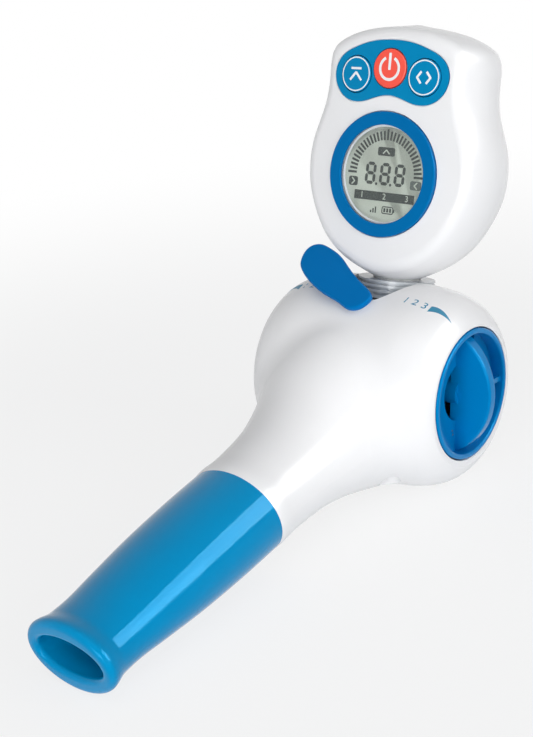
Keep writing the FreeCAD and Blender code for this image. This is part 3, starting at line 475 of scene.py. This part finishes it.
# White ring painted on the glass, which shows past the ring's inner edge: a painted highlight standing in for
# the lit inner wall of the ring's hole
show_on_glass(drawn_ring("lcd_painted_highlight_ring", 13.3, 0.6, (0, 0)), white_ink)

# Holder, board and parts: a black nylon frame, a round board of green glass epoxy with
# tinned pads, and its chips, snap switches and pressure sensor in black epoxy.
board_epoxy = bpy.data.materials.new("green_glass_epoxy_board")
board_epoxy.use_nodes = True
tree = board_epoxy.node_tree
shader = tree.nodes["Principled BSDF"]
shader.inputs["Roughness"].default_value = 0.32
place = add_node(tree, "ShaderNodeTexCoord").outputs["Object"]
weave = add_node(tree, "ShaderNodeTexBrick", {"Scale": 1.0, "Mortar Size": mm(0.12), "Brick Width": mm(2.4),
                                              "Row Height": mm(0.8), "Color1": linear("1C6B3E"),
                                              "Color2": linear("17613A"), "Mortar": linear("2F8A52")},
                 {"Vector": place})
tree.links.new(weave.outputs["Color"], shader.inputs["Base Color"])
bump = add_node(tree, "ShaderNodeBump", {"Strength": 0.5, "Distance": mm(0.03)},
                {"Height": weave.outputs["Fac"]})
tree.links.new(bump.outputs["Normal"], shader.inputs["Normal"])
dress(board_epoxy, "circuit_board")
chip_epoxy = moulded("black_chip_epoxy_matt", "1D1E20", "26272A",
                     rough=0.6, ripple=0.3, depth=0.01, ior=1.55)
dress(chip_epoxy, "board_chips", "key_switches", "pressure_sensor")
dress(dark_nylon, "lcd_holder", "battery_tray")

# Batteries: two steel-cased cells in a printed shrink sleeve, held by coil springs and
# plates of nickel-plated spring steel.
cell_sleeve = bpy.data.materials.new("printed_cell_sleeve")
cell_sleeve.use_nodes = True
tree = cell_sleeve.node_tree
shader = tree.nodes["Principled BSDF"]
shader.inputs["Roughness"].default_value = 0.28
place = add_node(tree, "ShaderNodeTexCoord").outputs["Object"]
streak = add_node(tree, "ShaderNodeTexNoise", {"Scale": 1 / mm(3), "Detail": 2.0}, {"Vector": place})
tint = add_node(tree, "ShaderNodeMix", {"data_type": "RGBA", 6: linear("2A2C30"), 7: linear("3A3D42")},
                {0: streak.outputs["Fac"]})
tree.links.new(tint.outputs[2], shader.inputs["Base Color"])
dress(cell_sleeve, "battery_cells")
nickel = plated("nickel_plated_spring_steel", "C9C5BB", "B4AFA4", rough=0.22, grain=2.0)
dress(nickel, "battery_springs", "battery_contacts")

# Studio: a pale floor that keeps the shadow, a white surround, and soft lamps. The camera
# stands where the photographer stood.
def background_rays(tree):
    rays = add_node(tree, "ShaderNodeLightPath")
    seen = add_node(tree, "ShaderNodeMath", {"operation": "MAXIMUM"},
                    {0: rays.outputs["Is Camera Ray"], 1: rays.outputs["Is Glossy Ray"]})
    return add_node(tree, "ShaderNodeMath", {"operation": "MAXIMUM"},
                    {0: seen.outputs[0], 1: rays.outputs["Is Transmission Ray"]})


FLOOR_SHADOW, FLOOR_WHITE = 0.12, 0.4
bpy.ops.object.select_all(action="DESELECT")
bpy.ops.mesh.primitive_plane_add(size=6.0, location=(0, 0, 0))
floor = bpy.context.object
floor.name = "studio_floor"
paper = bpy.data.materials.new("white_studio_paper")
paper.use_nodes = True
tree = paper.node_tree
tree.nodes.clear()
seen = background_rays(tree)
place = add_node(tree, "ShaderNodeTexCoord").outputs["Object"]
away = add_node(tree, "ShaderNodeVectorMath", {"operation": "LENGTH"}, {0: place})
edge = add_node(tree, "ShaderNodeMapRange",
                {1: FLOOR_SHADOW, 2: FLOOR_WHITE, 3: 0.8, 4: 1.0, "interpolation_type": "SMOOTHSTEP"},
                {0: away.outputs["Value"]})
share = add_node(tree, "ShaderNodeMath", {"operation": "MULTIPLY"},
                 {0: seen.outputs[0], 1: edge.outputs[0]})
matt = add_node(tree, "ShaderNodeBsdfDiffuse", {"Color": linear("E2E4E6")})
glow = add_node(tree, "ShaderNodeEmission", {"Color": (1, 1, 1, 1), "Strength": 1.0})
both = add_node(tree, "ShaderNodeMixShader", {},
                {0: share.outputs[0], 1: matt.outputs[0], 2: glow.outputs[0]})
add_node(tree, "ShaderNodeOutputMaterial", {}, {"Surface": both.outputs[0]})
floor.data.materials.append(paper)

world = bpy.data.worlds.new("white_surround")
bpy.context.scene.world = world
world.use_nodes = True
tree = world.node_tree
tree.nodes.clear()
seen = background_rays(tree)
# The surround lights the object more from the right than from the left
FILL_LEFT, FILL_RIGHT = 0.1, 0.5
place = add_node(tree, "ShaderNodeTexCoord").outputs["Generated"]
side = add_node(tree, "ShaderNodeSeparateXYZ", {}, {0: place})
falloff = add_node(tree, "ShaderNodeMapRange", {1: -1.0, 2: 1.0, 3: FILL_LEFT, 4: FILL_RIGHT},
                   {0: side.outputs[0]})
dim = add_node(tree, "ShaderNodeBackground", {"Color": linear("F4F5F7")}, {"Strength": falloff.outputs[0]})
bright = add_node(tree, "ShaderNodeBackground", {"Color": (1, 1, 1, 1), "Strength": 1.0})
both = add_node(tree, "ShaderNodeMixShader", {},
                {0: seen.outputs[0], 1: dim.outputs[0], 2: bright.outputs[0]})
add_node(tree, "ShaderNodeOutputWorld", {}, {"Surface": both.outputs[0]})


def soft_lamp(name, place, aim, size, power):
    bpy.ops.object.light_add(type="AREA", location=place)
    lamp = bpy.context.object
    lamp.name = name
    lamp.data.shape = "RECTANGLE"
    lamp.data.size = size[0]
    lamp.data.size_y = size[1]
    lamp.data.energy = power
    lamp.rotation_euler = (Vector(place) - Vector(aim)).to_track_quat("Z", "Y").to_euler()
    return lamp


soft_lamp("top_soft_box", (0.2, -0.35, 1.0), (0, 0, 0.08), (0.8, 0.6), 1.2)
soft_lamp("key_soft_box", (0.9, -0.65, 0.22), (0, 0, 0.06), (0.7, 0.45), 1.5)
soft_lamp("side_soft_box", (0.9, 0.1, 0.45), (0, 0, 0.06), (0.6, 0.4), 2.6)
soft_lamp("front_soft_box", (0.35, -1.1, 0.24), (0, 0, 0.09), (0.6, 0.4), 7.0)
# The card is seen in glossy surfaces only and makes the stripe along the mouthpiece
card = soft_lamp("reflector_card", (0.685, 0.21, 0.51), (0.012, -0.06, 0.02), (0.66, 0.5), 14.0)
card.visible_diffuse = False

# Camera: solved from the circles and ovals of the photo
CAMERA_AT = (0.212645, -0.25939, 0.186712)
CAMERA_TURN = (67.1244, 5.4964, 38.0547)
SENSOR, LENS = 36.0, 69.59
bpy.ops.object.camera_add(location=CAMERA_AT)
camera = bpy.context.object
camera.rotation_euler = [math.radians(a) for a in CAMERA_TURN]
camera.data.sensor_fit = "VERTICAL"
camera.data.sensor_height = SENSOR
camera.data.lens = LENS
camera.data.clip_start = 0.01
bpy.context.scene.camera = camera
bpy.context.scene.view_settings.view_transform = "Standard"
